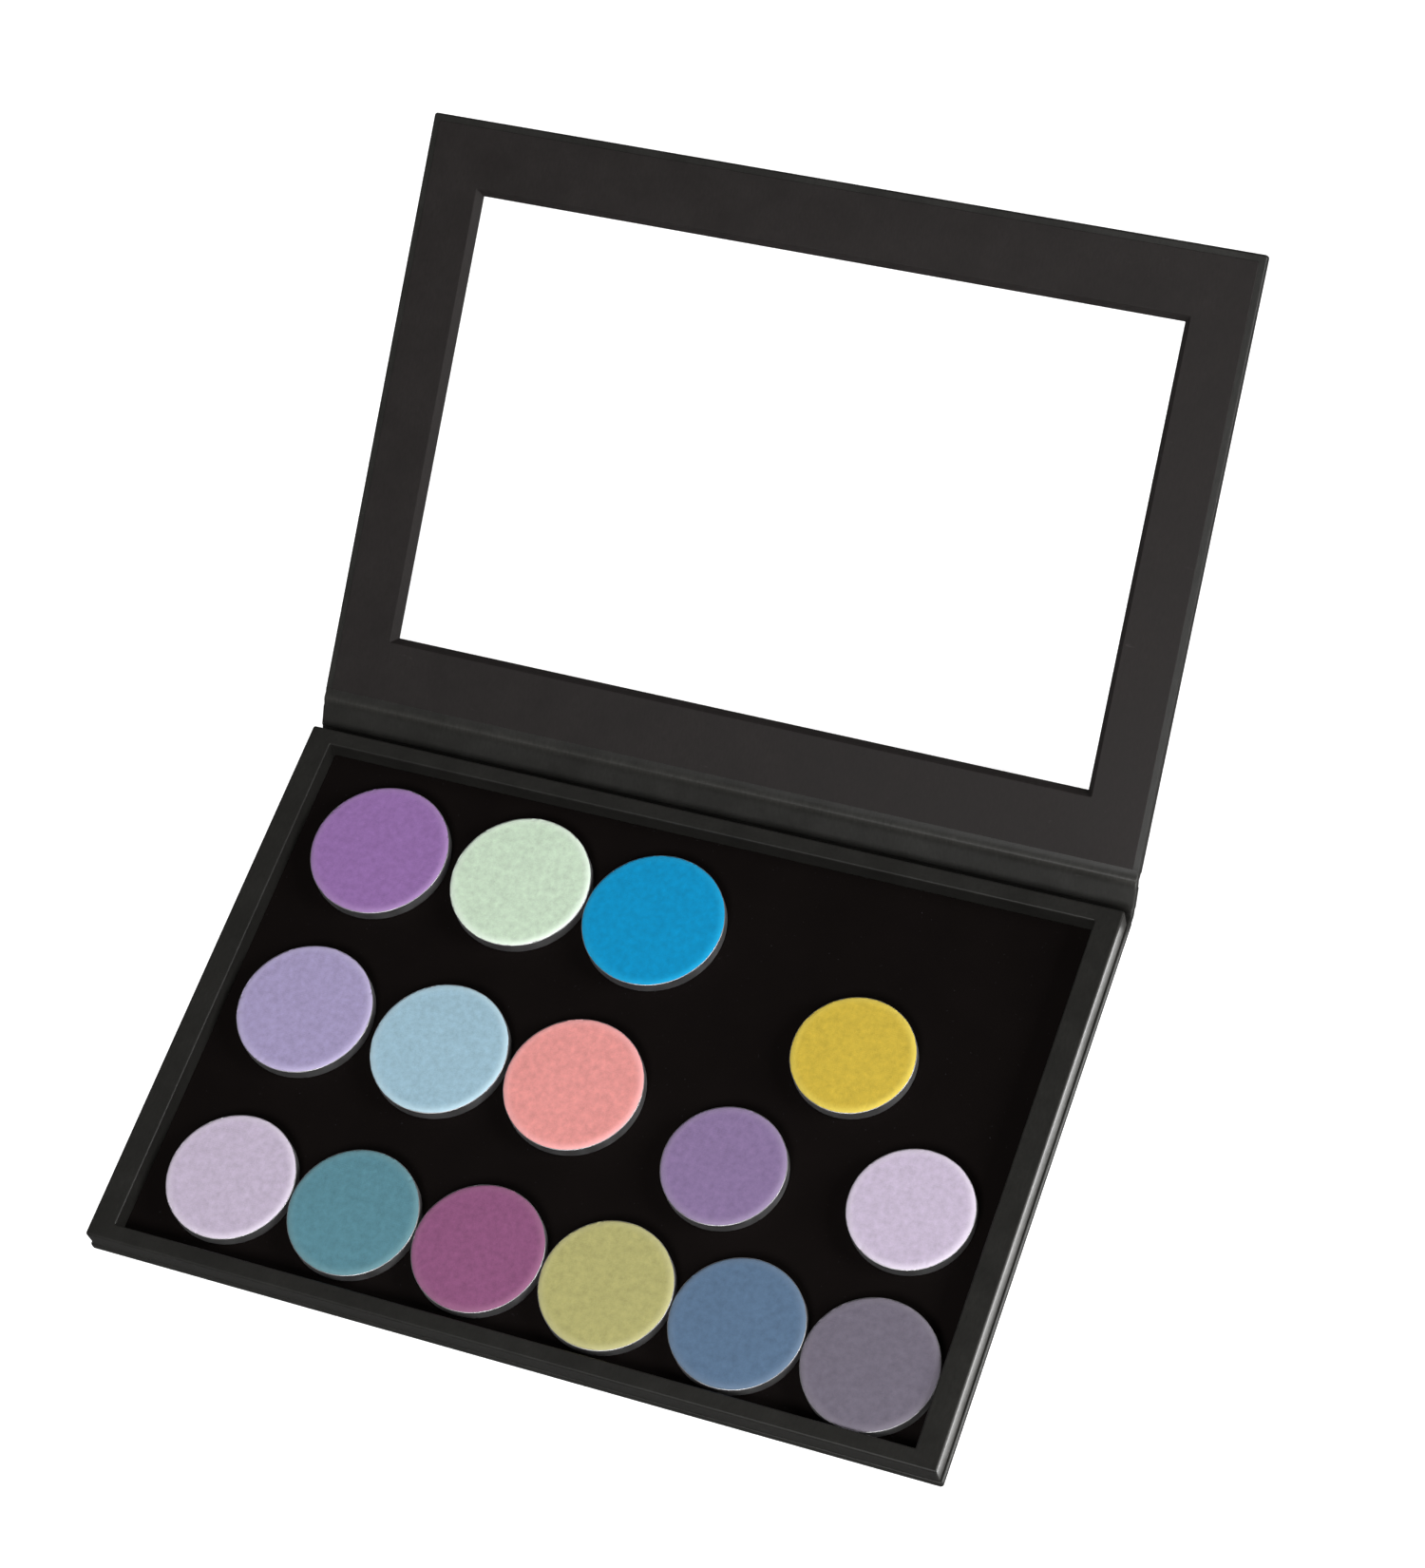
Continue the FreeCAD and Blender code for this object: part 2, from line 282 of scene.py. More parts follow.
class Nodes:
    """A material's node tree, with short calls for the nodes used here."""

    def __init__(self, name):
        self.made = bpy.data.materials.new(name)
        self.made.use_nodes = True
        self.tree = self.made.node_tree
        self.shader = self.tree.nodes["Principled BSDF"]
        self.place = self.tree.nodes.new("ShaderNodeTexCoord").outputs["Object"]

    def set(self, **values):
        for name, value in values.items():
            self.shader.inputs[name.replace("_", " ")].default_value = value

    def link(self, output, socket):
        self.tree.links.new(output, self.shader.inputs[socket])

    def node(self, kind, inputs, **settings):
        """A new node. Each input is another node's output or a value."""
        node = self.tree.nodes.new(kind)
        for name, value in settings.items():
            setattr(node, name, value)
        for socket, value in inputs.items():
            if isinstance(value, bpy.types.NodeSocket):
                self.tree.links.new(value, node.inputs[socket])
            else:
                node.inputs[socket].default_value = value
        return node

    def stretched(self, scale):
        return self.node("ShaderNodeMapping", {"Vector": self.place, "Scale": scale}).outputs["Vector"]

    def noise(self, size_mm, detail=4.0, rough=0.55, vector=None):
        """Noise from 0 to 1 with features of about that size."""
        vector = vector or self.place
        inputs = {"Scale": 1 / (size_mm * MM), "Detail": detail, "Roughness": rough, "Vector": vector}
        return self.node("ShaderNodeTexNoise", inputs).outputs["Fac"]

    def cells(self, size_mm):
        """Distance to the nearest of many scattered points, about that far apart."""
        inputs = {"Scale": 1 / (size_mm * MM), "Vector": self.place}
        return self.node("ShaderNodeTexVoronoi", inputs).outputs["Distance"]

    def bands(self, size_mm, direction):
        """Slightly wandering bands of that width along X or Y. At a scale of 1 there are 3.2 to a metre."""
        inputs = {"Scale": 1 / (3.2 * size_mm * MM), "Distortion": 1.2, "Vector": self.place}
        return self.node("ShaderNodeTexWave", inputs, bands_direction=direction).outputs["Fac"]

    def span(self, value, low, high, to_low, to_high):
        """The value with its range from low to high moved to another range."""
        inputs = {"Value": value, "From Min": low, "From Max": high, "To Min": to_low, "To Max": to_high}
        return self.node("ShaderNodeMapRange", inputs).outputs["Result"]

    def math(self, kind, a, b):
        return self.node("ShaderNodeMath", {0: a, 1: b}, operation=kind).outputs["Value"]

    def mix(self, factor, a, b):
        """A colour between two. A Mix node's colours are its inputs 6 and 7 and its output 2."""
        return self.node("ShaderNodeMix", {0: factor, 6: a, 7: b}, data_type="RGBA").outputs[2]

    def attribute(self, name):
        return self.node("ShaderNodeAttribute", {}, attribute_name=name).outputs["Fac"]

    def bump(self, height, depth_mm, below=None):
        """Relief of that depth. below is a coarser relief that this one lies on."""
        inputs = {"Height": height, "Distance": depth_mm * MM, "Strength": 1.0}
        if below:
            inputs["Normal"] = below
        return self.node("ShaderNodeBump", inputs).outputs["Normal"]


def paper(name, dark, light, rough, shine):
    """Coated black paper: fibres under a satin coat, cloudy gloss, a few scuffs, and a painted highlight along the
    upper hinge's crease.
    """
    n = Nodes(name)
    cloud = n.noise(9.0, 3.0)
    fibres = n.noise(0.5, 5.0, 0.65, n.stretched((1.0, 0.35, 0.35)))
    scuffs = n.span(n.noise(2.2, 6.0, 0.75, n.stretched((0.25, 1.0, 1.0))), 0.66, 0.8, 0.0, 1.0)
    tone = n.mix(n.math("MULTIPLY", cloud, fibres), dark, light)
    # This lighter colour serves both the scuffs and a painted highlight along the crease.
    scuff_and_crease_highlight = tuple(min(3.0 * c, 1.0) for c in light[:3]) + (1.0,)
    # A painted highlight along the crease, weighted by a point attribute of the upper hinge.
    crease_highlight_weight = n.math("MULTIPLY", n.attribute("crease_highlight"), n.span(fibres, 0.3, 0.7, 0.08, 0.2))
    n.link(n.mix(n.math("MAXIMUM", n.math("MULTIPLY", scuffs, 0.35), crease_highlight_weight), tone, scuff_and_crease_highlight), "Base Color")
    gloss = n.span(cloud, 0.3, 0.7, rough - 0.04, rough + 0.05)
    n.link(n.math("ADD", gloss, n.span(fibres, 0.3, 0.7, 0.0, 0.06)), "Roughness")
    n.set(Specular_IOR_Level=shine, IOR=1.5)
    coarse = n.bump(n.noise(3.0, 2.0), 0.02)
    n.link(n.bump(fibres, 0.012, coarse), "Normal")
    return n.made


def black_paper():
    return paper("black_paper", (0.0125, 0.0122, 0.0112, 1), (0.034, 0.033, 0.030, 1), 0.34, 0.2)


def liner_paper():
    return paper("liner_paper", (0.0135, 0.0116, 0.0112, 1), (0.033, 0.0285, 0.0275, 1), 0.5, 0.11)


def greyboard():
    """Grey recycled board with flecks of darker and lighter fibre."""
    n = Nodes("greyboard")
    flecks = n.noise(0.35, 6.0, 0.7, n.stretched((1.0, 1.0, 3.0)))
    base = n.mix(n.span(flecks, 0.3, 0.7, 0.0, 1.0), (0.26, 0.25, 0.23, 1), (0.44, 0.42, 0.39, 1))
    dark = n.span(n.cells(0.9), 0.0, 0.12, 1.0, 0.0)
    n.link(n.mix(n.math("MULTIPLY", dark, 0.6), base, (0.1, 0.1, 0.11, 1)), "Base Color")
    n.link(n.span(flecks, 0.2, 0.8, 0.82, 0.95), "Roughness")
    n.set(Specular_IOR_Level=0.3)
    n.link(n.bump(flecks, 0.06), "Normal")
    return n.made


def magnetic_vinyl():
    """Matte black magnetic sheet: a fine calendered grain with sparse specks of powder dust."""
    n = Nodes("magnetic_vinyl")
    grain = n.noise(0.22, 4.0, 0.6)
    cloud = n.noise(14.0, 3.0)
    base = n.mix(cloud, (0.0034, 0.0024, 0.0022, 1), (0.0058, 0.0042, 0.0038, 1))
    dust = n.span(n.noise(0.5, 2.0, 0.5), 0.74, 0.8, 0.0, 1.0)
    n.link(n.mix(n.math("MULTIPLY", dust, 0.3), base, (0.09, 0.085, 0.095, 1)), "Base Color")
    n.link(n.span(cloud, 0.3, 0.7, 0.72, 0.82), "Roughness")
    n.set(Specular_IOR_Level=0.04)
    n.link(n.bump(grain, 0.02), "Normal")
    return n.made


def brushed(name, base, low, high, stretch):
    """Plated or bare metal with fine drawing lines and a few smudges."""
    n = Nodes(name)
    lines = n.noise(0.6, 4.0, 0.6, n.stretched(stretch))
    smudge = n.noise(3.5, 3.0)
    darker = tuple(c * 0.82 for c in base[:3]) + (1.0,)
    n.link(n.mix(n.math("MULTIPLY", lines, smudge), base, darker), "Base Color")
    gloss = n.span(smudge, 0.3, 0.7, low, high)
    n.link(n.math("ADD", gloss, n.span(lines, 0.3, 0.7, 0.0, 0.06)), "Roughness")
    n.set(Metallic=1.0)
    n.link(n.bump(lines, 0.001), "Normal")
    return n.made


def magnet_metal():
    return brushed("magnet_metal", (0.56, 0.56, 0.58, 1), 0.22, 0.32, (1.0, 6.0, 6.0))


def tin_plate():
    return brushed("tin_plate", (0.52, 0.52, 0.53, 1), 0.4, 0.5, (1.0, 1.0, 10.0))


def clear_film():
    """Thin polyester window: nearly invisible, with a faint haze and hairline scratches."""
    n = Nodes("clear_film")
    scratches = n.span(n.noise(1.6, 5.0, 0.7, n.stretched((0.12, 1.0, 1.0))), 0.68, 0.74, 0.0, 1.0)
    haze = n.noise(25.0, 3.0)
    n.link(n.mix(haze, (0.88, 0.9, 0.9, 1), (0.97, 0.98, 0.98, 1)), "Base Color")
    veil = n.span(haze, 0.3, 0.7, 0.016, 0.024)
    n.link(n.math("ADD", veil, n.math("MULTIPLY", scratches, 0.02)), "Alpha")
    n.link(n.span(haze, 0.3, 0.7, 0.05, 0.12), "Roughness")
    n.set(IOR=1.55)
    return n.made


def powder(name):
    """Pressed powder: a matte mottled face with the weave of the pressing cloth, and a paler edge that also
    carries a painted highlight on its bevel.
    """
    face, edge = POWDERS[name]
    n = Nodes("powder_" + name)
    mottle = n.noise(1.5, 6.0, 0.7)
    grain = n.noise(0.3, 3.0, 0.7)
    weave = n.math("MULTIPLY", n.bands(THREAD, "X"), n.bands(THREAD, "Y"))
    core = n.mix(n.span(mottle, 0.3, 0.7, 0.0, 1.0), shade(face, 0.79), shade(face, 1.11))
    speckled = n.mix(n.span(grain, 0.35, 0.75, 0.0, 0.3), core, shade(edge, 1.03))
    # The paler edge colour is partly the powder's own and partly a painted highlight on its bevel.
    n.link(n.mix(n.attribute("rim"), speckled, shade(edge, 1.13)), "Base Color")
    n.link(n.span(grain, 0.3, 0.7, 0.8, 0.95), "Roughness")
    n.set(Specular_IOR_Level=0.13, Sheen_Weight=0.04, Sheen_Roughness=0.5)
    cloth = n.bump(weave, 0.012)
    n.link(n.bump(grain, 0.03, n.bump(mottle, 0.04, cloth)), "Normal")
    return n.made


MATERIALS = {
    "black_paper": black_paper, "liner_paper": liner_paper, "greyboard": greyboard,
    "magnetic_vinyl": magnetic_vinyl, "magnet_metal": magnet_metal, "clear_film": clear_film,
    "tin_plate": tin_plate,
}
made_materials = {}


def material(slot):
    if slot not in made_materials:
        if slot.startswith("powder_"):
            made_materials[slot] = powder(slot[len("powder_"):])
        else:
            made_materials[slot] = MATERIALS[slot]()
    return made_materials[slot]


# Frame

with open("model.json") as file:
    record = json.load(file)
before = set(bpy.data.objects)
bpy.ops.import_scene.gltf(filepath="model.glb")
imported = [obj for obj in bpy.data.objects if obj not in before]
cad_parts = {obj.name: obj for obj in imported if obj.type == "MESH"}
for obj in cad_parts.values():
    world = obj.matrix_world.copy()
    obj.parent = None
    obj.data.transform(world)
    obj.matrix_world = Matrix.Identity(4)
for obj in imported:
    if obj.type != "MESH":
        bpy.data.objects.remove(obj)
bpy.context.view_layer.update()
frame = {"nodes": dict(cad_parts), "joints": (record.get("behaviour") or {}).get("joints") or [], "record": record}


def box_mm(node):
    low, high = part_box(node)
    return low / MM, high / MM


joints = {j["name"]: j for j in frame["joints"]}
lower_crease = Vector(joints["spine_fold"]["pos_m"]) / MM
upper_crease = Vector(joints["lid_fold"]["pos_m"]) / MM
spine_along = (upper_crease - lower_crease).normalized()
spine_length = (upper_crease - lower_crease).length
spine_lean = math.degrees(math.atan2(spine_along.y, spine_along.z))
lid_lean = spine_lean - joints["lid_fold"]["range_deg"][0] - 90


def leaning(origin, degrees):
    lean = math.radians(degrees)
    return Plane(origin, (0, math.sin(lean), math.cos(lean)), (0, -math.cos(lean), math.sin(lean)))


base_plane = Plane((0, 0, 0), (0, 1, 0), (0, 0, 1))
spine_plane = leaning(lower_crease, spine_lean)
lid_plane = leaning(upper_crease, lid_lean)

board_low, board_high = box_mm("bottom_wrap")
half_width = board_high.x
bottom_top = board_high.z
half_board = bottom_top / 2


def on_lid(node):
    """A lid node's extent in the lid's own axes: across, along and out, lowest then highest."""
    data = frame["nodes"][node].data
    spots = [Vector(v.co) / MM - lid_plane.origin for v in data.vertices]
    rows = [(p.x, p.dot(lid_plane.along), p.dot(lid_plane.out)) for p in spots]
    return [min(c) for c in zip(*rows)], [max(c) for c in zip(*rows)]


# Case

def build_tray_cover():
    """Paper over the four walls: up the outside, over the rounded rim and down the inside."""
    low, high = box_mm("tray_wrap")
    right_low, _ = box_mm("tray_wall_right")
    back_low, _ = box_mm("tray_wall_back")
    outer = (high.x, low.y, high.y)
    inner_depth = back_low.y - PAPER
    inner = (right_low.x - PAPER, -inner_depth, inner_depth)

    def face_path(inset):
        path = [(grown(outer, -inset), RIM_ROUND - inset, low.z)]
        turn = arc((RIM_ROUND, high.z - RIM_ROUND), RIM_ROUND - inset, 180, 90, EDGE_STEPS + 2)
        path += [(grown(outer, -a), RIM_ROUND - a, z) for a, z in turn]
        centre = (INNER_RIM_ROUND, high.z - INNER_RIM_ROUND)
        turn = arc(centre, INNER_RIM_ROUND - inset, 90, 180, EDGE_STEPS)
        path += [(grown(inner, a), INNER_CORNER + a, z) for a, z in turn]
        path.append((grown(inner, inset), INNER_CORNER + inset, low.z))
        return path

    path = face_path(0.0) + face_path(PAPER)[::-1]
    rings = [base_plane.ring(rounded_rectangle(*outline, corner), z) for outline, corner, z in path]
    riding(Shape().loft(rings, closed=True), "tray_cover", "black_paper", "case_base", "tray_wrap")


def build_board_covers():
    """The bottom board and the spine board, each a greyboard core in its paper."""
    span = (base_plane, half_width, board_low.y, board_high.y, 0, bottom_top)
    riding(board_skin(*span), "bottom_cover", "black_paper", "case_base", "bottom_wrap")
    riding(board_core(*span), "bottom_core", "greyboard", "case_base", "bottom_board")
    span = (spine_plane, half_width, CREASE_REACH, spine_length - CREASE_REACH, -half_board, half_board)
    riding(board_skin(*span), "spine_cover", "black_paper", "spine", "spine_wrap")
    riding(board_core(*span), "spine_core", "greyboard", "spine", "spine_board")


def lid_sizes():
    """The lid's outline, window, outer face, inner face and the film's inner face, in its own axes."""
    outer_low, outer_high = on_lid("lid_wrap")
    film_low, film_high = on_lid("window_film")
    outline = (outer_high[0], outer_low[1], outer_high[1])
    window = grown((film_high[0], film_low[1], film_high[1]), -FILM_BORDER)
    return outline, window, outer_low[2], outer_high[2], film_high[2]


def lid_ring(rectangle, corner, w):
    return lid_plane.ring(rounded_rectangle(*rectangle, corner), w)


def lid_edges(inset):
    """The lid's outer side from its back to its inner face, that far inside the wrapped surface."""
    outline, _, low, high, _ = lid_sizes()
    turns = edge_turns(low, high, inset)
    return [(grown(outline, -shrink), CORNER_ROUND + EDGE_ROUND - shrink, w) for shrink, w in turns]


def build_lid_core():
    """The lid's board: a frame with a sloping window edge and a slot for the film."""
    _, window, low, high, film_top = lid_sizes()
    film_low, _ = on_lid("window_film")
    gap = PAPER + SNUG
    slot = grown(window, FILM_BORDER + SNUG)
    path = lid_edges(gap)
    path += [
        (grown(window, WINDOW_BEVEL + gap), SLOPE_CORNER, high - gap),
        (grown(window, gap), HOLE_CORNER, film_top + SNUG),
        (slot, WINDOW_CORNER, film_top + SNUG),
        (slot, WINDOW_CORNER, film_low[2] - SNUG),
        (grown(window, gap), HOLE_CORNER, film_low[2] - SNUG),
        (grown(window, gap), HOLE_CORNER, low + gap),
    ]
    rings = [lid_ring(*step) for step in path]
    riding(Shape().loft(rings, closed=True), "lid_core", "greyboard", "lid", "lid_board")


def build_lid_cover():
    """Paper from the film, out through the window, round the lid's edges and in under the liner."""
    outline, window, low, high, _ = lid_sizes()
    film_low, _ = on_lid("window_film")
    under_film = film_low[2] - SNUG
    lip = 0.1

    def face_path(inset):
        return lid_edges(inset) + [(grown(outline, -TURN_IN), CORNER_ROUND, high - inset)]

    path = [
        (grown(window, PAPER), HOLE_CORNER, low + PAPER),
        (grown(window, PAPER), HOLE_CORNER, under_film),
        (window, WINDOW_CORNER, under_film),
        (window, WINDOW_CORNER, low + lip),
        (grown(window, lip), WINDOW_CORNER + lip, low),
    ]
    path += face_path(0.0) + face_path(PAPER)[::-1]
    rings = [lid_ring(*step) for step in path]
    riding(Shape().loft(rings, closed=True), "lid_cover", "black_paper", "lid", "lid_wrap")


def build_lid_liner():
    """The liner sheet on the lid's inner face, with flaps that turn down into the window."""
    outline, window, _, high, film_top = lid_sizes()
    top = high + LINER
    slope = WINDOW_BEVEL / (top - film_top)
    drop = math.hypot(1.0, slope)
    side = grown(outline, -LINER_INSET)
    sheet = (side[0], outline[1] + EDGE_ROUND, side[2])
    bevel_top = grown(window, WINDOW_BEVEL)
    path = [(sheet, LINER_CORNER, high)]
    for shrink, w in arc((LINER_ROUND, top - LINER_ROUND), LINER_ROUND, 180, 90, 3):
        path.append((grown(sheet, -shrink), LINER_CORNER, w))
    sweep = 90 - math.degrees(math.atan(slope))
    centre = BEVEL_ROUND * math.tan(math.radians(sweep / 2))
    for a, w in arc((centre, top - BEVEL_ROUND), BEVEL_ROUND, 90, 90 + sweep, 5):
        path.append((grown(bevel_top, a), BEVEL_CORNER, w))
    path.append((window, WINDOW_CORNER, film_top))
    path.append((grown(window, LINER * drop), HOLE_CORNER, film_top))
    path.append((grown(bevel_top, centre + LINER), SLOPE_CORNER, high))
    rings = [lid_ring(*step) for step in path]
    riding(Shape().loft(rings, closed=True), "lid_liner_sheet", "liner_paper", "lid", "lid_liner")


def hinge_shape(outer, inner):
    """Paper over a crease: a closed body between an outer and an inner path, with rounded ends."""
    thickness = 2 * half_board
    profile = rounded_rectangle(half_width - HINGE_SIDE, 0, thickness, EDGE_ROUND)
    rings = []
    for out_spot, in_spot in zip(outer, inner):
        ring = []
        for x, t in profile:
            spot = out_spot.lerp(in_spot, t / thickness)
            ring.append(Vector((x, spot.y, spot.z)))
        rings.append(ring)
    return Shape().loft(rings, capped=True)


def fillet(start, corner, end, radius, steps):
    """The corner between two straight runs, rounded, with both runs' far ends."""
    a, b = (start - corner).normalized(), (end - corner).normalized()
    half = a.angle(b) / 2
    reach = radius / math.tan(half)
    middle = corner + (a + b).normalized() * (radius / math.sin(half))
    first, last = corner + a * reach - middle, corner + b * reach - middle
    points = [start]
    for i in range(steps + 1):
        points.append(middle + first.slerp(last, i / steps))
    return points + [end]


def crease_arc(crease, reach, first, last, steps):
    """Points round a crease at that distance, from one direction to another."""
    return [crease + first.slerp(last, i / steps) * reach for i in range(steps + 1)]


def build_hinges():
    """One wrap of paper over each crease, blended between its two boards."""
    steps = HINGE_STEPS // 2
    depth = half_board - FLUSH
    back = Vector((0, -HINGE_REACH, 0))
    on = spine_plane.along * HINGE_REACH

    outer = [lower_crease + back - base_plane.out * depth]
    outer += crease_arc(lower_crease, depth, -base_plane.out, -spine_plane.out, steps)
    outer += [lower_crease + on - spine_plane.out * depth]
    inner_depth = half_board + PROUD
    start = lower_crease + back + base_plane.out * inner_depth
    end = lower_crease + on + spine_plane.out * inner_depth
    turn = math.radians(90 - spine_lean)
    bisector = (base_plane.out + spine_plane.out).normalized()
    corner = lower_crease + bisector * (inner_depth / math.cos(turn / 2))
    inner = fillet(start, corner, end, CREASE_VALLEY, steps)
    lower = mesh(hinge_shape(outer, inner), "lower_hinge_wrap", "black_paper")
    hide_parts("lower_hinge_paper")
    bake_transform(lower)

    _, _, lid_low, lid_high, _ = lid_sizes()
    outer, inner, scuff_and_crease_highlight = [], [], []
    for i in range(HINGE_STEPS + 1):
        s = -HINGE_REACH + 2 * HINGE_REACH * i / HINGE_STEPS
        share = clamped((i / HINGE_STEPS - CREASE_REST) / (1 - 2 * CREASE_REST))
        share = share * share * (3 - 2 * share)
        out = spine_plane.out.lerp(lid_plane.out, share).normalized()
        plane = spine_plane if s < 0 else lid_plane
        middle = upper_crease + plane.along * s
        bulge = math.exp(-(s / RIDGE_WIDTH) ** 2)
        groove = CREASE_GROOVE * math.exp(-(s / GROOVE_WIDTH) ** 2)
        outer.append(middle - out * (depth + (-lid_low - half_board) * share - groove))
        face = half_board + (lid_high + LINER - half_board) * share + PROUD
        inner.append(middle + out * (face + CREASE_RIDGE * bulge))
        # The ridge's bulge also weights a painted highlight along the crease.
        scuff_and_crease_highlight.append(bulge)
    upper = mesh(hinge_shape(outer, inner), "upper_hinge_wrap", "black_paper")
    # The point attribute that carries that painted highlight to the paper.
    crease_highlight = upper.data.attributes.new("crease_highlight", "FLOAT", "POINT")
    around = len(upper.data.vertices) // len(scuff_and_crease_highlight)
    crease_highlight.data.foreach_set("value", [share for share in scuff_and_crease_highlight for _ in range(around)])
    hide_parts("upper_hinge_paper")
    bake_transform(upper)


# Pans

def lathe(centre, profile, segments):
    """Rings round an upright axis, one for each (radius, z) of the profile."""
    rings = []
    for radius, z in profile:
        ring = []
        for i in range(segments):
            angle = 2 * math.pi * i / segments
            x = centre.x + radius * math.cos(angle)
            y = centre.y + radius * math.sin(angle)
            ring.append(Vector((x, y, z)))
        rings.append(ring)
    return rings


def build_cup(name):
    """A drawn tin cup with a rounded foot and rim."""
    low, high = box_mm("pan_" + name)
    centre, radius = (low + high) / 2, (high.x - low.x) / 2
    rim = PAN_WALL / 2
    raised = low.z + DIMPLE
    profile = [(0.3 * radius, raised), (0.8 * radius, raised), (0.84 * radius, low.z)]
    profile += arc((radius - PAN_FOOT, low.z + PAN_FOOT), PAN_FOOT, 270, 360, EDGE_STEPS)
    profile += arc((radius - rim, high.z - rim), rim, 0, 180, EDGE_STEPS)
    inner_foot = PAN_FOOT - PAN_WALL
    inner = radius - PAN_WALL
    profile += arc((inner - inner_foot, low.z + PAN_WALL + inner_foot), inner_foot, 360, 270, 3)
    profile += [(0.3 * radius, low.z + PAN_WALL)]
    shape = Shape().loft(lathe(centre, profile, PAN_SEGMENTS), capped=True)
    riding(shape, "cup_" + name, "tin_plate", "pan_of_" + name, "pan_" + name)


def disc_spot(i, j, rings):
    """A square grid's point moved onto a disc of radius 1, so that each square ring becomes a circle."""
    if i == 0 and j == 0:
        return 0.0, 0.0
    if abs(i) >= abs(j):
        radius, angle = i / rings, math.pi / 4 * j / i
    else:
        radius, angle = j / rings, math.pi / 2 - math.pi / 4 * i / j
    return radius * math.cos(angle), radius * math.sin(angle)


def grid_faces(size):
    """The quads of a square grid of points, counted row by row."""
    firsts = [row * size + column for row in range(size - 1) for column in range(size - 1)]
    return [(a, a + 1, a + size + 1, a + size) for a in firsts]


def grid_border(size):
    """The outermost points of that grid, in order round it."""
    last_row = size * (size - 1)
    border = list(range(size))
    border += range(2 * size - 1, size * size, size)
    border += range(size * size - 2, last_row - 1, -1)
    border += range(last_row - size, 0, -size)
    return border


def cake_relief(spot, to_edge, seed):
    """The pressed face's height over its mean: gentle swells, crumbs and the rubbed-down slope at its edge."""
    ragged = noise.noise(spot * 0.35 + seed) * 0.3 + noise.noise(spot * 1.3 + seed) * 0.22
    slope = clamped(1 - to_edge / (CAKE_BEVEL * (1 + ragged)))
    swell = 0.045 * noise.noise(spot * 0.12 + seed) + 0.02 * noise.noise(spot * 0.5 + seed)
    fine = 0.018 * noise.noise(spot * 1.6 + seed)
    crumb = max(noise.noise(spot * 1.1 - seed) - 0.42, 0) * (0.15 + 0.35 * slope)
    return (swell + fine) * (1 - slope) - CAKE_RISE * slope ** 1.7 - crumb


def build_cake(name, number):
    """Pressed powder: an uneven face that spills onto the pan's rim, and a side inside the cup."""
    low, high = box_mm("cake_" + name)
    pan_low, pan_high = box_mm("pan_" + name)
    centre = Vector(((low.x + high.x) / 2, (low.y + high.y) / 2, 0))
    radius = (pan_high.x - pan_low.x) / 2 - CAKE_SPILL
    inner = (high.x - low.x) / 2 - CAKE_SINK
    top, rim_top = high.z - CAKE_SINK, pan_high.z - CAKE_SINK
    seed = Vector((37.3 * number + 0.5, 11.7 * number + 0.3, 5.1 * number + 0.4))
    size = 2 * CAKE_RINGS + 1
    shape = Shape()
    shape.faces = grid_faces(size)
    paler = []
    for row in range(size):
        for column in range(size):
            x, y = disc_spot(column - CAKE_RINGS, row - CAKE_RINGS, CAKE_RINGS)
            edge = radius - CAKE_RAGGED * (1 + noise.noise(Vector((x, y, 0)) * 8 + seed))
            spot = Vector((x, y, 0)) * edge
            to_edge = edge - spot.length
            height = top + cake_relief(spot, to_edge, seed)
            shape.points.append(centre + spot + Vector((0, 0, height)))
            # Paler towards the edge: paler powder with a painted highlight on its bevel.
            paler.append(clamped(1 - to_edge / CAKE_PALE_LIT_EDGE) ** 1.5)
    border = grid_border(size)
    above, count = border, len(border)
    for reach, z in ((None, rim_top), (inner, rim_top), (inner, low.z)):
        below = list(range(len(shape.points), len(shape.points) + count))
        for index in border:
            spot = shape.points[index] - centre
            spot.z = 0
            if reach is not None:
                spot = spot.normalized() * reach
            shape.points.append(centre + spot + Vector((0, 0, z)))
            paler.append(1.0)
        for k in range(count):
            following = (k + 1) % count
            shape.faces.append((above[k], below[k], below[following], above[following]))
        above = below
    shape.faces.append(tuple(above[::-1]))
    piece = mesh(shape, "powder_" + name, "powder_" + name, smooth_angle=70.0)
    # This attribute carries the paler edge and its painted highlight.
    rim = piece.data.attributes.new("rim", "FLOAT", "POINT")
    rim.data.foreach_set("value", paler)
    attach(piece, "pan_of_" + name)
    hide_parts("cake_" + name)


def paint_frame():
    """Every CAD node gets its slot's material. It shows where no piece replaces the node."""
    for part in frame["record"]["subparts"]:
        node = frame["nodes"][part["node"]]
        node.data.materials.clear()
        node.data.materials.append(material(part["material_slot"]))


# Studio

def build_stage(name, shape):
    """A pale, faintly glowing surface that the object doesn't mirror."""
    n = Nodes(name)
    n.set(Base_Color=(0.5, 0.5, 0.5, 1), Roughness=0.9, Specular_IOR_Level=0.1)
    n.set(Emission_Color=(1, 1, 1, 1), Emission_Strength=0.88)
    data = bpy.data.meshes.new(name)
    data.from_pydata([tuple(p * MM) for p in shape.points], [], shape.faces)
    data.materials.append(n.made)
    piece = bpy.data.objects.new(name, data)
    piece.visible_glossy = False
    bpy.context.scene.collection.objects.link(piece)
    return piece


def build_studio():
    """A wide pale floor, and a pale wall far round it that gives no light."""
    reach, height = 4000, 5000
    ring = [Vector((x, y, -0.05)) for x, y in arc((0, 0), reach, 0, 360, 64)[:-1]]
    floor = Shape()
    floor.points = ring
    floor.faces = [tuple(range(len(ring)))]
    build_stage("studio_floor", floor)
    wall = Shape().loft([ring, [p + Vector((0, 0, height)) for p in ring]])
    build_stage("studio_wall", wall).visible_diffuse = False


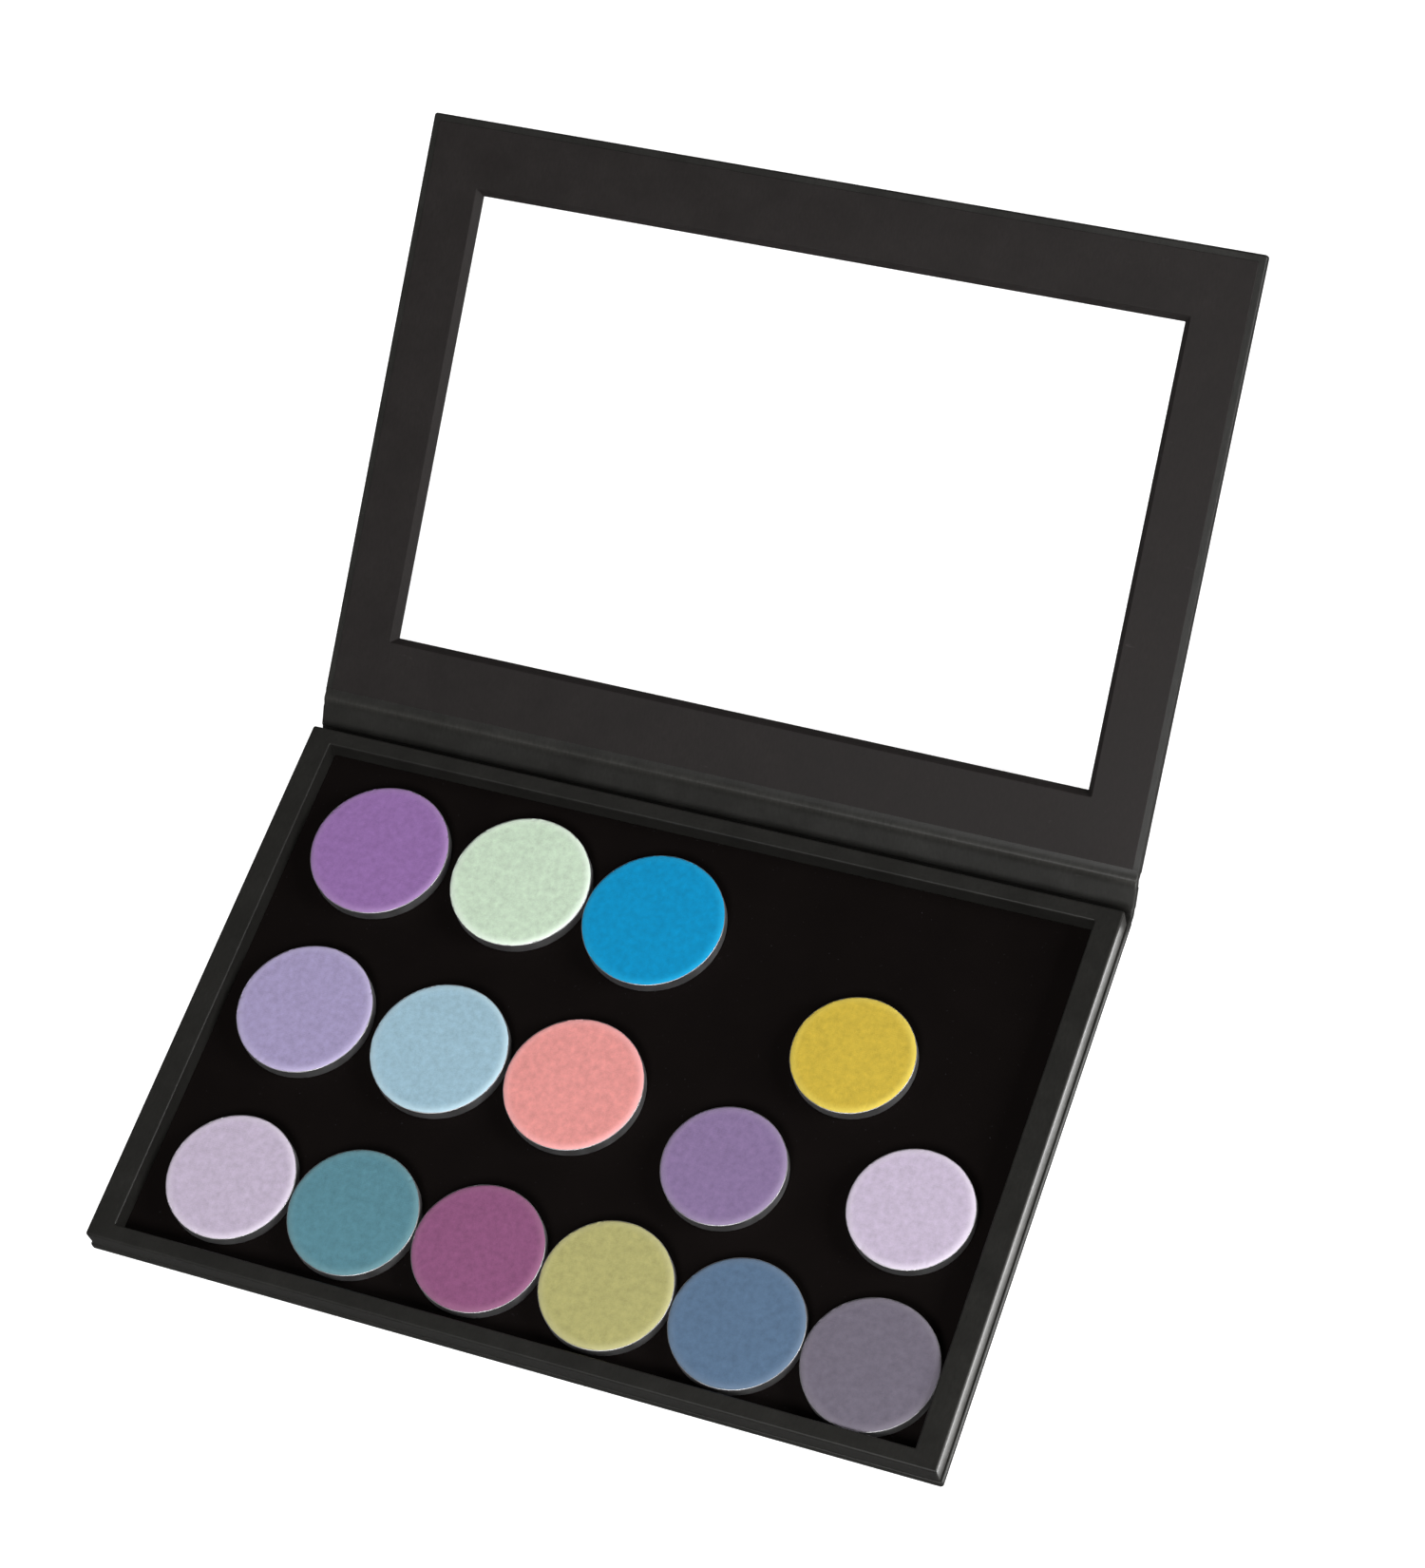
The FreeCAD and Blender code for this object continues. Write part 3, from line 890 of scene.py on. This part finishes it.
def add_light(name, place, target, size, power):
    data = bpy.data.lights.new(name, "AREA")
    data.shape = "RECTANGLE"
    data.size, data.size_y = size
    data.energy = power
    light = bpy.data.objects.new(name, data)
    bpy.context.scene.collection.objects.link(light)
    light.location = place
    light.rotation_euler = (Vector(target) - Vector(place)).to_track_quat("-Z", "Y").to_euler()


def build_lights():
    world = bpy.data.worlds.new("studio_world")
    world.use_nodes = True
    background = world.node_tree.nodes["Background"]
    background.inputs["Color"].default_value = (1, 1, 1, 1)
    background.inputs["Strength"].default_value = 0.1
    bpy.context.scene.world = world
    add_light("key_right", (0.92, 0.1, 0.42), (0, 0.04, 0.02), (0.5, 0.45), 8.6)
    add_light("front_high", (0.12, -0.8, 0.98), (0, 0.04, 0), (0.45, 0.4), 12.5)
    # A narrow reflector that lies on the floor beside the case's right wall and faces up
    beside = half_width * MM + 0.022
    add_light("reflector", (beside, 0, 0), (beside, 0, 1), (0.04, 0.125), 0.15)
    view = bpy.context.scene.view_settings
    view.view_transform = "Standard"
    view.look = "None"


def build_camera():
    azimuth, elevation, roll = (math.radians(a) for a in (VIEW_AZIMUTH, VIEW_ELEVATION, VIEW_ROLL))
    back = Vector((
        math.sin(azimuth) * math.cos(elevation),
        -math.cos(azimuth) * math.cos(elevation),
        math.sin(elevation),
    ))
    right = Vector((math.cos(azimuth), math.sin(azimuth), 0))
    up = back.cross(right)
    across = right * math.cos(roll) + up * math.sin(roll)
    upward = up * math.cos(roll) - right * math.sin(roll)
    data = bpy.data.cameras.new("camera")
    data.lens, data.sensor_width = LENS, SENSOR
    camera = bpy.data.objects.new("camera", data)
    bpy.context.scene.collection.objects.link(camera)
    turn = Matrix((across, upward, back)).transposed().to_4x4()
    camera.matrix_world = Matrix.Translation((VIEW_TARGET + back * VIEW_DISTANCE) * MM) @ turn
    bpy.context.scene.camera = camera


paint_frame()
build_tray_cover()
build_board_covers()
build_lid_core()
build_lid_cover()
build_lid_liner()
build_hinges()
for number, name in enumerate(POWDERS):
    build_cup(name)
    build_cake(name, number)
build_studio()
build_lights()
build_camera()
